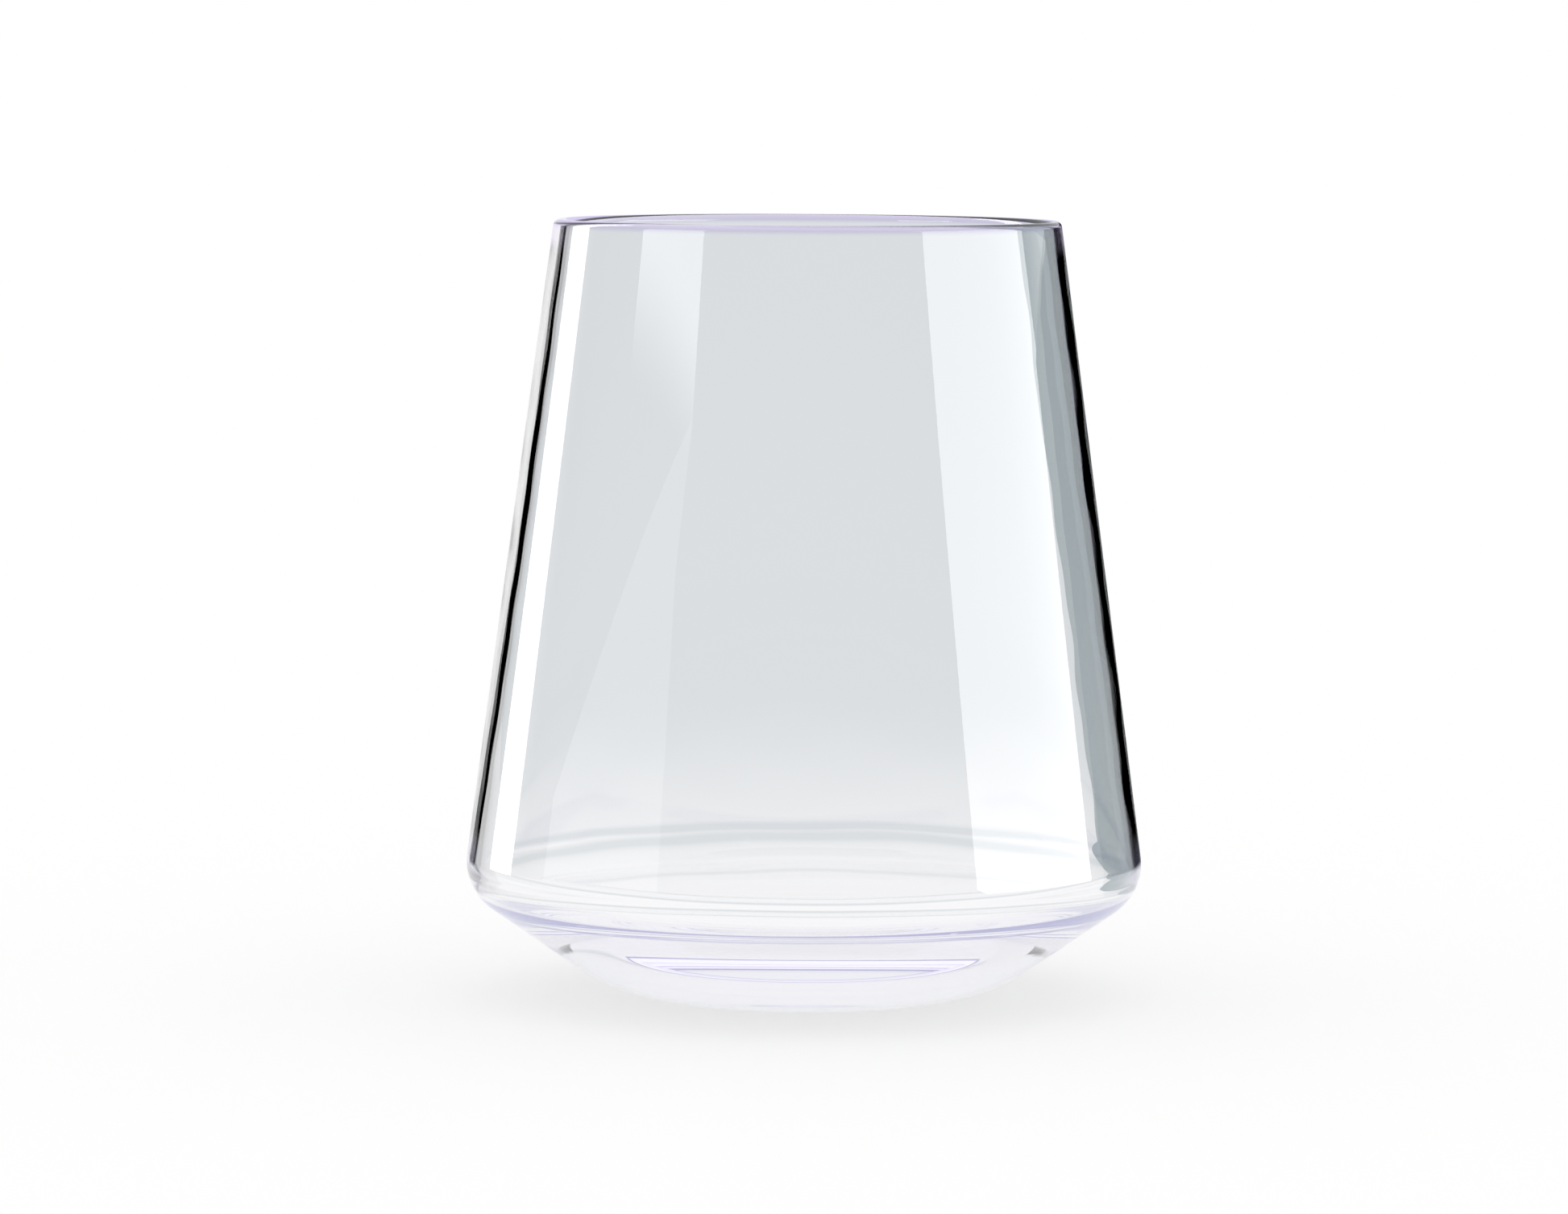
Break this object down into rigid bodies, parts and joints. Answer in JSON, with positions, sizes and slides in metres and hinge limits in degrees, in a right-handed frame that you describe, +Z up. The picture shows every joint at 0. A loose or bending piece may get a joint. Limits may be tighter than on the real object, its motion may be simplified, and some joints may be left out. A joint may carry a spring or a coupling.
{
  "type": "stemless wine glass",
  "caption": "Clear stemless wine glass: a thin wall leans in from a wide rounded shoulder to a round rim, over a thick solid base with a small flat foot.",
  "frame": {"origin": "centre of the flat foot, on the surface that the glass stands on", "axes": "+Z up along the axis of the glass, towards the rim; the glass is round, so X and Y are free"},
  "size_m": [0.095, 0.095, 0.109],
  "materials": {
    "clear_wall": "clear, polished",
    "clear_base": "clear, polished, faint lavender tint where it is thick"
  },
  "bodies": {
    "root": {"bowl": "clear_wall", "base": "clear_base"}
  },
  "joints": []
}
